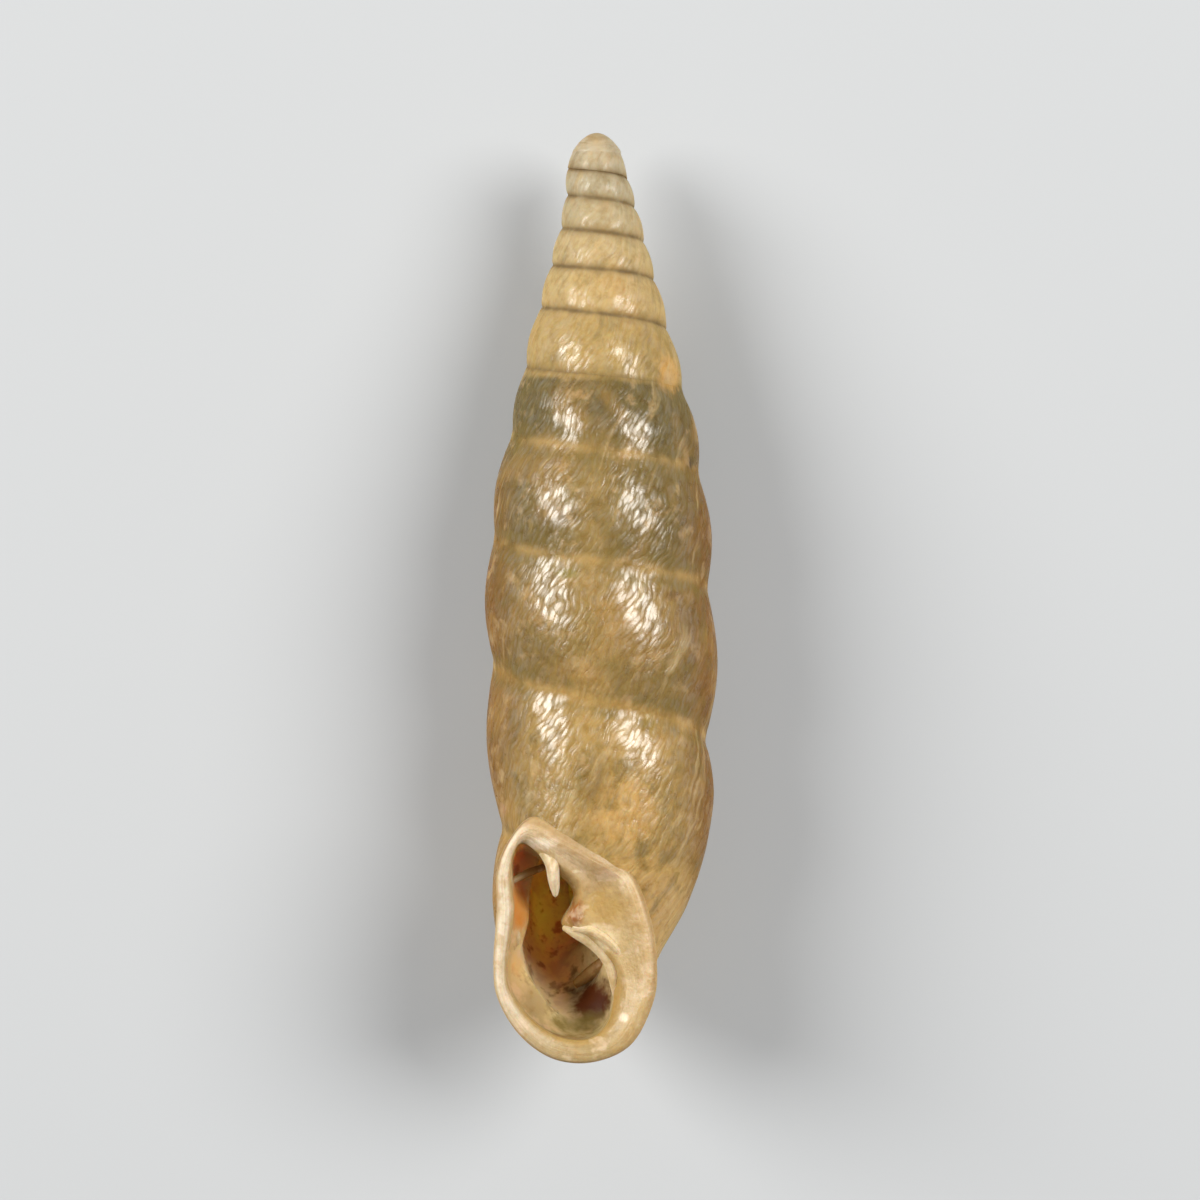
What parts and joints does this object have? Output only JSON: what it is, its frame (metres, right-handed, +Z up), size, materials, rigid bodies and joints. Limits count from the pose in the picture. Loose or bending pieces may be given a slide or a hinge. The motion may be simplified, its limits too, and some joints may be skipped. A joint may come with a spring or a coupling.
{
  "type": "plaited door snail shell",
  "caption": "Slender spindle-shaped left-coiled snail shell with a folded, flared mouth, lying on its back.",
  "frame": {"origin": "centre of the bounding box's bottom face, on the surface that the shell lies on", "axes": "+Y towards the apex, +Z up out of the mouth, +X to the right of the mouth as seen from above with the apex up"},
  "size_m": [0.0042, 0.0164, 0.0041],
  "materials": {
    "shell_horn": "gloss"
  },
  "bodies": {
    "root": {"shell": "shell_horn"}
  },
  "joints": []
}
